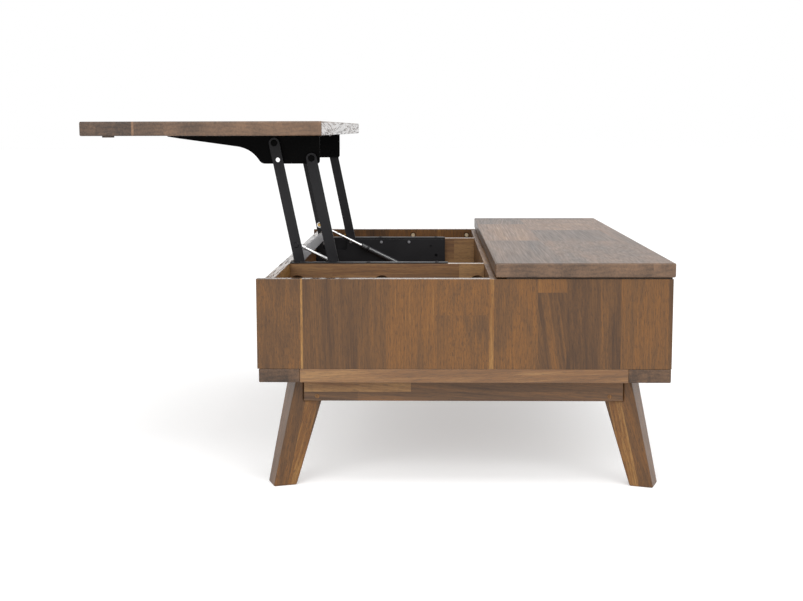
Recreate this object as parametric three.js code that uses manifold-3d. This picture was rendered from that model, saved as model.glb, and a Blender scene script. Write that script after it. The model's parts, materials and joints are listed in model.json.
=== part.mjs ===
// A lift top coffee table of solid wood: a low case on four splayed legs, a fixed top over the
// right-hand third, and a wide top on the left that swings up and out on two steel
// parallelogram linkages with gas struts.
// Millimetres. +Z is up, +Y runs along the table, and the moving top swings towards -X.
// The table is drawn with its moving top raised, which is its rest pose.
import * as THREE from 'three';
import { mergeVertices } from 'three/addons/utils/BufferGeometryUtils.js';
import Module from 'manifold-3d';

const wasm = await Module();
wasm.setup();

// ---- Driving dimensions -------------------------------------------------------------------
const TABLE_HEIGHT = 430;
const TOP_THICKNESS = 26;
const TOP_LENGTH = 1219;
const TOP_WIDTH = 769;
const LIFT_TOP_WIDTH = 439;
const TOP_GAP = 3; // shadow gap under the tops, and the joint between the two tops

const CASE_LENGTH = 1212;
const CASE_WIDTH = 762;
const END_PANEL = 20;
const SIDE_PANEL = 18;
const SIDE_INSET = 14; // side panels stand in from the ends of the end panels
const LEG_HEIGHT = 208.5;
const FRAME_HEIGHT = 25.5;
const FRAME_SIDE = 76; // width of the left-hand long rail of the bottom frame
const FRAME_END = 80; // width of the short rails of the bottom frame
const FRAME_INSET = { left: 2.5, right: 0.5 };
const BOTTOM_PANEL = 8;
const DIVIDER_X = 48; // left face of the divider under the fixed top
const DIVIDER = 20;
const CROSS_BOARD = 18;
const CROSS_BOARD_Y = 304; // inner face of each cross board
const CROSS_BOARD_DROP = 1;

const LEG_FOOT = 45;
const LEG_TOP = 63;
const LEG_FOOT_X = 344.5;
const LEG_FOOT_Y = 541;
const LEG_SPLAY = 54; // how far the foot stands out from the top of the leg
const LEG_TURN = 20; // degrees between the splay and the table's width
const APRON = 24;
const APRON_HEIGHT = 43.5;
const APRON_END_X = 299.5;
const APRON_FACE_Y = 562;
const SIDE_APRON_X = 318;
const SIDE_APRON_Y = 512;

// Lifting linkage, seen along +Y. Angles in degrees above +X.
const ARM_LENGTH = 260;
const ARM_WIDTH = 21.5;
const ARM_RAISED = 101.5;
const ARM_SWING = 102;
const FIRST_PIVOT = new THREE.Vector2(-329, 390);
const SECOND_PIVOT_OFFSET = new THREE.Vector2(76, -31);
const ARM_HOLE_FROM_TOP = 35;
const ARM_HOLE_RADIUS = 4.8;
const PIVOT_RADIUS = 4;
const RUNNING_CLEARANCE = 0.2;
const STUD_ALONG_ARM = 47;
const STRUT_LENGTH = 290; // eye to eye with the top raised
const STRUT_BASE_OFFSET = new THREE.Vector2(250.6, -82.4); // from the first pivot
const ROD_SHOWING = 116;

// Layers of one linkage, as depths inward from the face of its cross board.
const OUTER_WALL = [0, 2];
const ARM_LAYER = [5.2, 10.2];
const BRACKET_LAYER = [11, 14];
const INNER_WALL = [18, 20];
const STRUT_LAYER = [22, 34];

const CHANNEL_X = [-348.5, -26];
const CHANNEL_BOTTOM = 341;
const SHEET = 2.5;
const LIP_CORNER = 8; // rounding of the lip's free corner
const SPARE_HOLES = [[35, 18, 2.5], [22, 41, 3.5]]; // from the right end, from the top, radius

const CONNECTOR_X = [-110, 36];
const CONNECTOR_BORE = 7.5;
const CONNECTOR_DEPTH = 11;
const CONNECTOR_DROP = 16;

const SMALL_GAP = 0.3;
const ROUND = 24; // sides on small round steel parts

// ---- Worked-out places --------------------------------------------------------------------
const radians = THREE.MathUtils.degToRad;
const raised = radians(ARM_RAISED);
const lowered = radians(ARM_RAISED - ARM_SWING);
const topShift = ARM_LENGTH * (Math.cos(lowered) - Math.cos(raised));
const topLift = ARM_LENGTH * (Math.sin(raised) - Math.sin(lowered));
const topUnderside = TABLE_HEIGHT - TOP_THICKNESS;
const panelTop = topUnderside - TOP_GAP;
const frameTop = LEG_HEIGHT + FRAME_HEIGHT;
const boardTop = panelTop - CROSS_BOARD_DROP;
const floorTop = frameTop + BOTTOM_PANEL;
const halfLength = CASE_LENGTH / 2;
const halfWidth = CASE_WIDTH / 2;
const innerLength = halfLength - END_PANEL;
const sideOuter = halfWidth - SIDE_INSET;
const sideInner = sideOuter - SIDE_PANEL;
const liftLeft = -TOP_WIDTH / 2 - topShift;
const liftUnderside = topUnderside + topLift;
const apronBottom = LEG_HEIGHT - APRON_HEIGHT;
const bboxCentreX = (liftLeft + TOP_WIDTH / 2) / 2;

const armDirection = new THREE.Vector2(Math.cos(raised), Math.sin(raised));
const secondPivot = FIRST_PIVOT.clone().add(SECOND_PIVOT_OFFSET);
const firstTopPivot = FIRST_PIVOT.clone().addScaledVector(armDirection, ARM_LENGTH);
const secondTopPivot = secondPivot.clone().addScaledVector(armDirection, ARM_LENGTH);
const strutTop = FIRST_PIVOT.clone().addScaledVector(armDirection, STUD_ALONG_ARM);
const strutBase = FIRST_PIVOT.clone().add(STRUT_BASE_OFFSET);
const strutDrop = Math.atan2(strutTop.y - strutBase.y, strutBase.x - strutTop.x);

// ---- Materials ----------------------------------------------------------------------------
const wood = (color) => new THREE.MeshStandardMaterial({ color, roughness: 0.5, metalness: 0 });
const steel = (color, roughness) => new THREE.MeshStandardMaterial({ color, roughness, metalness: 0.8 });

const topWood = wood(0xa98f70);
const caseWood = wood(0xa87a4c);
const darkWood = wood(0x7a5a44);
const lightWood = wood(0xc79a63);
const blackSteel = steel(0x2b2b30, 0.5);
const greySteel = steel(0xb9bcc2, 0.35);
const brightSteel = steel(0xd8d8d8, 0.15);
const brassPlate = steel(0xc8a24e, 0.3);
const rubber = new THREE.MeshStandardMaterial({ color: 0x3a2f28, roughness: 0.9, metalness: 0 });

// ---- Helpers ------------------------------------------------------------------------------
const table = new THREE.Group();
table.position.x = -bboxCentreX;

function add(name, geometry, material) {
  const mesh = new THREE.Mesh(geometry, material);
  mesh.name = name;
  table.add(mesh);
  return mesh;
}

function block([x0, x1], [y0, y1], [z0, z1]) {
  const geometry = new THREE.BoxGeometry(x1 - x0, y1 - y0, z1 - z0);
  return geometry.translate((x0 + x1) / 2, (y0 + y1) / 2, (z0 + z1) / 2);
}

function board(name, xs, ys, zs, material) {
  const sizes = [xs, ys, zs].map(([low, high]) => high - low);
  const middles = [xs, ys, zs].map(([low, high]) => (low + high) / 2);
  const mesh = add(name, new THREE.BoxGeometry(...sizes), material);
  mesh.position.set(...middles);
  return mesh;
}

// A closed outline through [a, b, radius] corners, each rounded by its radius.
function outline(corners) {
  const shape = new THREE.Shape();
  corners.forEach(([a, b, radius = 0], index) => {
    const corner = new THREE.Vector2(a, b);
    const before = new THREE.Vector2(...corners.at(index - 1).slice(0, 2));
    const after = new THREE.Vector2(...corners[(index + 1) % corners.length].slice(0, 2));
    const start = before.sub(corner).setLength(radius).add(corner);
    const end = after.sub(corner).setLength(radius).add(corner);
    if (index === 0) shape.moveTo(start.x, start.y);
    else shape.lineTo(start.x, start.y);
    if (radius > 0) shape.quadraticCurveTo(a, b, end.x, end.y);
  });
  shape.closePath();
  return shape;
}

function hole(x, y, radius) {
  return new THREE.Path().absarc(x, y, radius, 0, Math.PI * 2, true);
}

// An outline drawn in X and Z, made solid between two Y values.
function plate(shape, [y0, y1], curveSegments = 6) {
  const settings = { depth: y1 - y0, bevelEnabled: false, curveSegments };
  return new THREE.ExtrudeGeometry(shape, settings).rotateX(Math.PI / 2).translate(0, y1, 0);
}

// The Y range of a depth range in the linkage at one end: side is -1 near, 1 far.
function layer(side, [d0, d1]) {
  const ys = [side * (CROSS_BOARD_Y - d0), side * (CROSS_BOARD_Y - d1)];
  return ys.sort((a, b) => a - b);
}

// A turned piece from [radius, depth] steps, on a linkage's own depth scale.
function turned(side, { x, y: z }, steps) {
  const profile = steps.map(([radius, depth]) => new THREE.Vector2(radius, depth));
  const geometry = new THREE.LatheGeometry(profile, ROUND);
  if (side > 0) geometry.rotateX(Math.PI);
  return geometry.translate(x, side * CROSS_BOARD_Y, z);
}

function toSolid(geometry) {
  const bare = geometry.clone();
  bare.deleteAttribute('normal');
  bare.deleteAttribute('uv');
  const merged = mergeVertices(bare);
  return new wasm.Manifold(new wasm.Mesh({
    numProp: 3,
    vertProperties: new Float32Array(merged.attributes.position.array),
    triVerts: new Uint32Array(merged.index.array),
  }));
}

function toGeometry(solid) {
  const mesh = solid.getMesh();
  const geometry = new THREE.BufferGeometry();
  geometry.setAttribute('position', new THREE.BufferAttribute(mesh.vertProperties, 3));
  geometry.setIndex(new THREE.BufferAttribute(mesh.triVerts, 1));
  geometry.computeVertexNormals();
  return geometry;
}

function joined(...pieces) {
  return toGeometry(pieces.map(toSolid).reduce((whole, piece) => whole.add(piece)));
}

function cut(piece, ...tools) {
  return toGeometry(tools.map(toSolid).reduce((whole, tool) => whole.subtract(tool), toSolid(piece)));
}

const ends = [['near', -1], ['far', 1]];
const sides = [['left', -1], ['right', 1]];
const span = (side, inner, outer) => [side * inner, side * outer].sort((a, b) => a - b);

// ---- Bottom frame, case and fixed top -----------------------------------------------------
function makeBottomFrame() {
  const zs = [LEG_HEIGHT, frameTop];
  const inner = halfWidth - FRAME_INSET.left - FRAME_SIDE;
  for (const [word, side] of sides) {
    const xs = span(side, inner, halfWidth - FRAME_INSET[word]);
    board(`bottom_rail_${word}`, xs, [-halfLength, halfLength], zs, darkWood);
  }
  for (const [word, side] of ends) {
    const ys = span(side, halfLength - FRAME_END, halfLength);
    board(`bottom_rail_${word}`, [-inner, inner], ys, zs, lightWood);
  }
  board('bottom_panel', [-sideInner, sideInner], [-innerLength, innerLength], [frameTop, floorTop], caseWood);
}

function makeCase() {
  const zs = [frameTop, panelTop];
  for (const [word, side] of ends) {
    const panel = block([-halfWidth, halfWidth], span(side, innerLength, halfLength), zs);
    const bores = CONNECTOR_X.map((x) => {
      const bore = new THREE.CylinderGeometry(CONNECTOR_BORE, CONNECTOR_BORE, 2 * CONNECTOR_DEPTH, ROUND);
      return bore.translate(x, side * innerLength, panelTop - CONNECTOR_DROP);
    });
    add(`end_panel_${word}`, cut(panel, ...bores), caseWood);
  }
  for (const [word, side] of sides) {
    board(`side_panel_${word}`, span(side, sideInner, sideOuter), [-innerLength, innerLength], zs, caseWood);
  }
  const divider = [DIVIDER_X, DIVIDER_X + DIVIDER];
  board('centre_divider', divider, [-innerLength, innerLength], [floorTop, boardTop], caseWood);
}

// Cross boards carry the linkages. Each has three wide blind holes in its outer face.
function makeCrossBoards() {
  const holeX = [-334, -161, 34];
  const holeRadius = 17.5;
  const holeDepth = 12;
  const holeDrop = 42;
  const outerY = CROSS_BOARD_Y + CROSS_BOARD;
  for (const [word, side] of ends) {
    const ys = span(side, CROSS_BOARD_Y, outerY);
    const body = block([-sideInner, DIVIDER_X], ys, [floorTop, boardTop]);
    const tools = holeX.map((x) => {
      const tool = new THREE.CylinderGeometry(holeRadius, holeRadius, 2 * holeDepth, ROUND);
      return tool.translate(x, side * outerY, boardTop - holeDrop);
    });
    add(`cross_board_${word}`, cut(body, ...tools), caseWood);
  }
}

function makeFixedTop() {
  const left = -TOP_WIDTH / 2 + LIFT_TOP_WIDTH + TOP_GAP;
  const ys = [-TOP_LENGTH / 2, TOP_LENGTH / 2];
  board('fixed_top', [left, TOP_WIDTH / 2], ys, [topUnderside, TABLE_HEIGHT], topWood);
  const leftInset = 20;
  const rightInset = 1.5;
  const strip = [left + leftInset, halfWidth - rightInset];
  for (const [word, side] of ends) {
    const stripYs = span(side, innerLength + 2, halfLength - 4);
    board(`fixed_top_spacer_${word}`, strip, stripYs, [panelTop, topUnderside], rubber);
  }
}

// Round connector cams sunk in bores in the inner faces of the end panels.
function makeConnectors() {
  const radius = 5.2;
  const sunk = 1.5;
  const height = CONNECTOR_DEPTH - sunk - SMALL_GAP;
  for (const [word, side] of ends) {
    CONNECTOR_X.forEach((x, index) => {
      const geometry = new THREE.CylinderGeometry(radius, radius, height, ROUND);
      const mesh = add(`connector_${word}_${index + 1}`, geometry, brightSteel);
      mesh.position.set(x, side * (innerLength + sunk + height / 2), panelTop - CONNECTOR_DROP);
    });
  }
}

// ---- Stand --------------------------------------------------------------------------------
// A leg is a square post that tapers and leans, drawn as two turned squares joined by faces.
function legGeometry(sideX, sideY) {
  const turn = radians(LEG_TURN);
  const out = new THREE.Vector2(sideX * Math.cos(turn), sideY * Math.sin(turn));
  const across = new THREE.Vector2(-out.y, out.x);
  const foot = new THREE.Vector2(sideX * LEG_FOOT_X, sideY * LEG_FOOT_Y);
  const square = (width, centre, z) => [[1, 1], [-1, 1], [-1, -1], [1, -1]].flatMap(([i, j]) => {
    const corner = centre.clone();
    corner.addScaledVector(out, (i * width) / 2);
    corner.addScaledVector(across, (j * width) / 2);
    return [corner.x, corner.y, z];
  });
  const top = foot.clone().addScaledVector(out, -LEG_SPLAY);
  const corners = [...square(LEG_FOOT, foot, 0), ...square(LEG_TOP, top, LEG_HEIGHT)];
  const geometry = new THREE.BufferGeometry();
  geometry.setAttribute('position', new THREE.Float32BufferAttribute(corners, 3));
  const faces = [0, 2, 1, 0, 3, 2, 4, 5, 6, 4, 6, 7];
  for (let i = 0; i < 4; i += 1) {
    const j = (i + 1) % 4;
    faces.push(i, j, j + 4, i, j + 4, i + 4);
  }
  geometry.setIndex(faces);
  return geometry;
}

function makeStand() {
  const apronZs = [apronBottom, LEG_HEIGHT];
  const notchZs = [apronBottom - SMALL_GAP, LEG_HEIGHT + 1];
  const sideApronInner = SIDE_APRON_X - APRON;
  const apronBack = APRON_FACE_Y - APRON;
  for (const [word, side] of ends) {
    board(`apron_${word}`, [-APRON_END_X, APRON_END_X], span(side, apronBack, APRON_FACE_Y), apronZs, lightWood);
    for (const [sideWord, sideX] of sides) {
      const endNotch = block(
        [-APRON_END_X - SMALL_GAP, APRON_END_X + SMALL_GAP],
        span(side, apronBack - SMALL_GAP, APRON_FACE_Y + SMALL_GAP),
        notchZs,
      );
      const sideNotch = block(
        span(sideX, sideApronInner - SMALL_GAP, SIDE_APRON_X + SMALL_GAP),
        [-SIDE_APRON_Y - SMALL_GAP, SIDE_APRON_Y + SMALL_GAP],
        notchZs,
      );
      add(`leg_${word}_${sideWord}`, cut(legGeometry(sideX, side), endNotch, sideNotch), caseWood);
    }
  }
  for (const [word, side] of sides) {
    const xs = span(side, sideApronInner, SIDE_APRON_X);
    board(`apron_${word}`, xs, [-SIDE_APRON_Y, SIDE_APRON_Y], apronZs, lightWood);
  }
}

// ---- Lifting linkage ----------------------------------------------------------------------
// The base is one folded sheet: a lip over the cross board, an outer wall, a bottom web and an
// inner wall. The inner wall is open over the swing of the stud and the tie bar, and a tab
// below it carries the foot of the gas strut.
function makeChannel(word, side) {
  const [left, right] = CHANNEL_X;
  const lipTop = boardTop + SHEET;
  const wallTop = boardTop - 0.5;
  const notch = [FIRST_PIVOT.x - 2, FIRST_PIVOT.x + 58];
  const notchBottom = FIRST_PIVOT.y - 18;
  const tab = [strutBase.x - 28, strutBase.x + 28];
  const tabBottom = strutBase.y - 10;
  const outerShape = outline([
    [left, CHANNEL_BOTTOM],
    [right, CHANNEL_BOTTOM, 6],
    [right, lipTop],
    [left, lipTop],
  ]);
  const innerShape = outline([
    [left, CHANNEL_BOTTOM],
    [tab[0], CHANNEL_BOTTOM],
    [tab[0], tabBottom, 8],
    [tab[1], tabBottom, 8],
    [tab[1], CHANNEL_BOTTOM],
    [right, CHANNEL_BOTTOM, 6],
    [right, wallTop],
    [notch[1], wallTop],
    [notch[1], notchBottom, 6],
    [notch[0], notchBottom, 6],
    [notch[0], wallTop],
    [left, wallTop],
  ]);
  const lipYs = layer(side, [-CROSS_BOARD, OUTER_WALL[1]]);
  const lipCorners = [[left, lipYs[0]], [right, lipYs[0]], [right, lipYs[1]], [left, lipYs[1]]];
  lipCorners[side < 0 ? 1 : 2].push(LIP_CORNER);
  const lip = new THREE.ExtrudeGeometry(outline(lipCorners), {
    depth: SHEET,
    bevelEnabled: false,
    curveSegments: 6,
  });
  lip.translate(0, 0, boardTop);
  const web = block([left, right - 6], layer(side, [0, INNER_WALL[1]]), [CHANNEL_BOTTOM, CHANNEL_BOTTOM + SHEET]);
  const outerWall = plate(outerShape, layer(side, OUTER_WALL));
  for (const [beside, below, radius] of SPARE_HOLES) {
    innerShape.holes.push(hole(right - beside, boardTop - below, radius));
  }
  const innerWall = plate(innerShape, layer(side, INNER_WALL));
  add(`base_channel_${word}`, joined(outerWall, lip, web, innerWall), blackSteel);
}

// The bracket under the moving top: a long tapering plate that deepens round both pivots.
function makeTopBracket(word, side) {
  const top = liftUnderside - SMALL_GAP;
  const bottom = liftUnderside - 58.5;
  const left = firstTopPivot.x - 219;
  const right = secondTopPivot.x + 17;
  const shape = outline([
    [left, top],
    [left, top - 2.6],
    [left + 24, top - 6.5],
    [left + 172, top - 27, 30],
    [left + 192, bottom, 8],
    [right, bottom, 7],
    [right, top],
  ]);
  const clear = PIVOT_RADIUS + RUNNING_CLEARANCE;
  const throughHole = firstTopPivot.clone().addScaledVector(armDirection, -ARM_HOLE_FROM_TOP);
  shape.holes.push(hole(firstTopPivot.x, firstTopPivot.y, clear));
  shape.holes.push(hole(secondTopPivot.x, secondTopPivot.y, clear));
  shape.holes.push(hole(throughHole.x, throughHole.y, ARM_HOLE_RADIUS));
  const web = plate(shape, layer(side, BRACKET_LAYER), 10);
  const flange = block([left, right], layer(side, [BRACKET_LAYER[0], 34]), [top - SHEET, top]);
  add(`top_bracket_${word}`, joined(web, flange), blackSteel);
}

// Arms are drawn along +X from their lower pivot and then turned up.
function makeArm(name, side, pivot, extraHoles) {
  const radius = ARM_WIDTH / 2;
  const shape = new THREE.Shape();
  shape.absarc(ARM_LENGTH, 0, radius, -Math.PI / 2, Math.PI / 2, false);
  shape.absarc(0, 0, radius, Math.PI / 2, -Math.PI / 2, false);
  for (const along of [0, ARM_LENGTH]) {
    shape.holes.push(hole(along, 0, PIVOT_RADIUS + RUNNING_CLEARANCE));
  }
  for (const [along, holeRadius] of extraHoles) shape.holes.push(hole(along, 0, holeRadius));
  const mesh = add(name, plate(shape, layer(side, ARM_LAYER), 10), blackSteel);
  mesh.position.set(pivot.x, 0, pivot.y);
  mesh.rotation.y = -raised;
}

function makeArms(word, side) {
  makeArm(`first_arm_${word}`, side, FIRST_PIVOT, [[ARM_LENGTH - ARM_HOLE_FROM_TOP, ARM_HOLE_RADIUS]]);
  makeArm(`second_arm_${word}`, side, secondPivot, []);
}

// Lower pivots stand on the outer wall of the base, upper ones are riveted through the bracket.
function makePivots(word, side) {
  const shank = PIVOT_RADIUS;
  const head = 7;
  const armInner = ARM_LAYER[1] + SMALL_GAP;
  const lower = [
    [0, OUTER_WALL[1]],
    [shank, OUTER_WALL[1]],
    [shank, armInner],
    [head, armInner],
    [head - 1, armInner + 2.5],
    [0, armInner + 2.5],
  ];
  const upper = [
    [0, 2.6],
    [head - 1, 2.6],
    [head, ARM_LAYER[0] - SMALL_GAP],
    [shank, ARM_LAYER[0] - SMALL_GAP],
    [shank, BRACKET_LAYER[1] + SMALL_GAP],
    [head, BRACKET_LAYER[1] + SMALL_GAP],
    [head - 1, 16.8],
    [0, 16.8],
  ];
  add(`lower_pivot_1_${word}`, turned(side, FIRST_PIVOT, lower), greySteel);
  add(`lower_pivot_2_${word}`, turned(side, secondPivot, lower), greySteel);
  add(`upper_pivot_1_${word}`, turned(side, firstTopPivot, upper), greySteel);
  add(`upper_pivot_2_${word}`, turned(side, secondTopPivot, upper), greySteel);
}

// The tie bar joins the two first arms so that both linkages move together.
function makeTieBar() {
  const along = [12, 32];
  const beside = [-9.5, -4.5];
  const reach = CROSS_BOARD_Y - ARM_LAYER[1] - SMALL_GAP;
  const geometry = block(along, [-reach, reach], beside);
  const mesh = add('tie_bar', geometry, greySteel);
  mesh.position.set(FIRST_PIVOT.x, 0, FIRST_PIVOT.y);
  mesh.rotation.y = -raised;
}

// A gas strut is drawn along +X from its upper eye and then turned down.
function makeStrut(word, side) {
  const eyeRadius = 7;
  const eyeHole = 3.2;
  const pinRadius = 3;
  const rodRadius = 3;
  const tubeRadius = 6.5;
  const rodEnd = 180;
  const boreEnd = 262;
  const middle = (STRUT_LAYER[0] + STRUT_LAYER[1]) / 2;
  const axisY = side * (CROSS_BOARD_Y - middle);
  const eye = (x) => {
    const shape = new THREE.Shape().absarc(x, 0, eyeRadius, 0, Math.PI * 2, false);
    shape.holes.push(hole(x, 0, eyeHole));
    return plate(shape, layer(side, [middle - 4, middle + 4]), ROUND / 2);
  };
  const along = (profile) => {
    const points = profile.map(([radius, x]) => new THREE.Vector2(radius, x));
    return new THREE.LatheGeometry(points, ROUND).rotateZ(-Math.PI / 2).translate(0, axisY, 0);
  };
  const rod = along([
    [0, eyeRadius - 1.5],
    [4.5, eyeRadius - 1.5],
    [4.5, 18],
    [rodRadius, 19],
    [rodRadius, rodEnd],
    [0, rodEnd],
  ]);
  const tube = along([
    [0, boreEnd],
    [rodRadius + 0.5, boreEnd],
    [rodRadius + 0.5, ROD_SHOWING],
    [tubeRadius - 1, ROD_SHOWING],
    [tubeRadius, ROD_SHOWING + 2],
    [tubeRadius, boreEnd + 6],
    [4.5, boreEnd + 9],
    [4.5, STRUT_LENGTH - eyeRadius + 1.5],
    [0, STRUT_LENGTH - eyeRadius + 1.5],
  ]);
  for (const [name, geometry, material] of [
    [`strut_rod_${word}`, joined(eye(0), rod), brightSteel],
    [`strut_cylinder_${word}`, joined(eye(STRUT_LENGTH), tube), greySteel],
  ]) {
    const mesh = add(name, geometry, material);
    mesh.position.set(strutTop.x, 0, strutTop.y);
    mesh.rotation.y = strutDrop;
  }
  const pin = (from) => [
    [0, from],
    [pinRadius, from],
    [pinRadius, middle + 4.5],
    [5, middle + 4.5],
    [4, STRUT_LAYER[1] + 1],
    [0, STRUT_LAYER[1] + 1],
  ];
  add(`strut_stud_${word}`, turned(side, strutTop, pin(ARM_LAYER[1] + SMALL_GAP)), brassPlate);
  add(`strut_foot_pin_${word}`, turned(side, strutBase, pin(INNER_WALL[1] + SMALL_GAP)), brassPlate);
}

function makeLinkage() {
  for (const [word, side] of ends) {
    makeChannel(word, side);
    makeTopBracket(word, side);
    makeArms(word, side);
    makePivots(word, side);
    makeStrut(word, side);
  }
  makeTieBar();
}

// ---- Moving top ---------------------------------------------------------------------------
function makeLiftTop() {
  const ys = [-TOP_LENGTH / 2, TOP_LENGTH / 2];
  const zs = [liftUnderside, liftUnderside + TOP_THICKNESS];
  board('lift_top', [liftLeft, liftLeft + LIFT_TOP_WIDTH], ys, zs, topWood);
  const padRadius = 11;
  const padInset = 49.5;
  const padHeight = TOP_GAP - RUNNING_CLEARANCE;
  const endPanelY = halfLength - END_PANEL / 2;
  for (const [word, side] of ends) {
    const geometry = new THREE.CylinderGeometry(padRadius, padRadius, padHeight, ROUND);
    const mesh = add(`bumper_${word}`, geometry.rotateX(Math.PI / 2), rubber);
    mesh.position.set(liftLeft + padInset, side * endPanelY, liftUnderside - padHeight / 2);
  }
}

makeBottomFrame();
makeCase();
makeCrossBoards();
makeFixedTop();
makeConnectors();
makeStand();
makeLinkage();
makeLiftTop();

export default table;
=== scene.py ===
import json
import math
import random

import bmesh
import bpy
from mathutils import Matrix, Vector


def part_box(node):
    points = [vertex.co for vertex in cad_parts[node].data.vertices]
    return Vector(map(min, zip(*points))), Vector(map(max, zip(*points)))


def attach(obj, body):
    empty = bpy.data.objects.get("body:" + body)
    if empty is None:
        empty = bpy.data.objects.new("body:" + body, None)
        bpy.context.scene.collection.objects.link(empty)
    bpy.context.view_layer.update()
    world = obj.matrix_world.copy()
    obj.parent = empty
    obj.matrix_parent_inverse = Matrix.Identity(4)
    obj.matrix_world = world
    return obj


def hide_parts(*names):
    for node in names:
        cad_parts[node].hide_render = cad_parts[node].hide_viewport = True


bl_info = {
    "name": "Lift Top Coffee Table",
    "version": (1, 0, 0),
    "blender": (4, 5, 0),
    "location": "3D Viewport > Sidebar > Coffee Table",
    "description": "Glued-up boards, splayed legs and steel lift mechanisms on the table's frame",
    "category": "Add Mesh",
}

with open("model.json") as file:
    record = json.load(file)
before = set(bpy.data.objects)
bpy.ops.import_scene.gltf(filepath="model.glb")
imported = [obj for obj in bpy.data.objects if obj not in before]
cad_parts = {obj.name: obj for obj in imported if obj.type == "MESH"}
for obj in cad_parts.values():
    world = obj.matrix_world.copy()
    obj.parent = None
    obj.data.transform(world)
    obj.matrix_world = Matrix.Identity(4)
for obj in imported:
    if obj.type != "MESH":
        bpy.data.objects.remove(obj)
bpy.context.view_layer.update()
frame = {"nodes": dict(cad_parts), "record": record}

ENDS = (("near", -1), ("far", 1))
SIDES = (("left", -1), ("right", 1))
X, Y, Z = Vector((1, 0, 0)), Vector((0, 1, 0)), Vector((0, 0, 1))
MM = 0.001
RING = 0.0085  # thickness of a year's growth
END_GRAIN_AGE = 0.40  # how far cut ends have turned grey


def middle_of(node):
    low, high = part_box(node)
    return (low + high) / 2


# The table's own centre line, and the height that its legs reach.
CENTRE_X = middle_of("end_panel_near").x
LEG_TOP_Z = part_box("leg_near_left")[1].z


# ---- Settings a user would change -------------------------------------------------------------
def length(name, description, default):
    return bpy.props.FloatProperty(
        name=name, description=description, default=default, min=0.0, subtype="DISTANCE", unit="LENGTH"
    )


def tint(name, description, default):
    return bpy.props.FloatVectorProperty(
        name=name, description=description, default=default, size=4, min=0.0, max=1.0, subtype="COLOR"
    )


def share(name, description, default):
    return bpy.props.FloatProperty(
        name=name, description=description, default=default, min=0.0, max=2.0, subtype="FACTOR"
    )


class WoodSettings(bpy.types.PropertyGroup):
    """Tones and edges of the solid wood."""

    honey: tint("Honey", "Sapwood and the palest streaks", (0.262, 0.140, 0.043, 1))
    amber: tint("Amber", "Warm orange brown heartwood", (0.138, 0.058, 0.0145, 1))
    nut: tint("Nut", "Plain middle brown", (0.092, 0.043, 0.0150, 1))
    umber: tint("Umber", "Dark brown streaks", (0.050, 0.0245, 0.0110, 1))
    smoke: tint("Smoke", "Grey brown, the darkest wood", (0.026, 0.0155, 0.0100, 1))
    dull: tint("Dull", "Greyed end grain and rails, light", (0.200, 0.125, 0.082, 1))
    dull_dark: tint("Dull dark", "Greyed end grain and rails, dark", (0.034, 0.024, 0.018, 1))
    figure: share("Figure", "Strength of the streaks and growth rings", 1.0)
    pore_depth: length("Pore depth", "Depth of the open pores", 0.00022)
    board_edge: length("Board edge", "Rounding along the edges of case boards", 0.0012)
    top_edge: length("Top edge", "Rounding along the edges of both tops", 0.0028)
    leg_edge: length("Leg edge", "Rounding along the edges of the legs", 0.0034)
    stave_length: length("Stave length", "Longest stave between butt joints", 0.52)
    lamination: length("Leg lamination", "Thickness of the boards the legs are glued up from", 0.024)


class SteelSettings(bpy.types.PropertyGroup):
    """Finishes and fasteners of the lifting mechanisms."""

    black: tint("Black", "Powder coat on the channels and arms", (0.0085, 0.0082, 0.0095, 1))
    # Painted shade: a darker copy of the black for the brackets and upper pivots, which sit in the shade
    # under the top
    black_for_shade: tint("Black in shade", "Matt paint on the brackets under the top", (0.002, 0.002, 0.002, 1))
    tube: tint("Tube", "Gloss paint on the gas cylinders", (0.024, 0.024, 0.026, 1))
    grey: tint("Grey", "Paint on the tie bar", (0.17, 0.17, 0.18, 1))
    bright: tint("Bright", "Polished rods", (0.86, 0.86, 0.86, 1))
    cream: tint("Cream", "Plastic of the connectors in the end panels", (0.40, 0.31, 0.20, 1))
    zinc: tint("Zinc", "Plated rivets and screws", (0.50, 0.50, 0.51, 1))
    brass: tint("Brass", "Yellow plated studs", (0.66, 0.44, 0.17, 1))
    sheet_edge: length("Sheet edge", "Rounding along pressed steel edges", 0.0004)
    rivet_radius: length("Rivet radius", "Radius of the rivet heads", 0.0036)
    screw_radius: length("Screw radius", "Radius of the screw heads", 0.0042)
    plug_radius: length("Plug radius", "Radius of the wood plugs over the apron screws", 0.0042)


class StageSettings(bpy.types.PropertyGroup):
    """Floor, light and camera."""

    paper: tint("Paper", "Colour of the floor", (0.66, 0.66, 0.66, 1))
    surround: share("Surround", "Brightness of the white surround", 1.0)
    floor_glow: share("Floor glow", "Light given off by the floor, which softens its shadows", 0.62)
    focal_length: bpy.props.FloatProperty(
        name="Focal length", description="Camera lens in millimetres on a 36 mm wide sensor", default=58.68
    )


# ---- Shader building --------------------------------------------------------------------------
class Number:
    """A socket that carries a number; arithmetic on it adds Math nodes."""

    def __init__(self, shader, socket):
        self.shader = shader
        self.socket = socket

    def math(self, operation, *values):
        node = self.shader.node("ShaderNodeMath", {"operation": operation}, dict(enumerate(values)))
        return Number(self.shader, node.outputs[0])

    def __add__(self, other):
        return self.math("ADD", self, other)

    __radd__ = __add__

    def __sub__(self, other):
        return self.math("SUBTRACT", self, other)

    def __rsub__(self, other):
        return self.math("SUBTRACT", other, self)

    def __mul__(self, other):
        return self.math("MULTIPLY", self, other)

    __rmul__ = __mul__

    def __pow__(self, other):
        return self.math("POWER", self, other)

    def above(self, level):
        return self.math("GREATER_THAN", self, level)

    def sine(self):
        return self.math("SINE", self)

    def clamped(self):
        node = self.shader.node("ShaderNodeClamp", {}, {"Value": self, "Min": 0.0, "Max": 1.0})
        return Number(self.shader, node.outputs[0])


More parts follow.
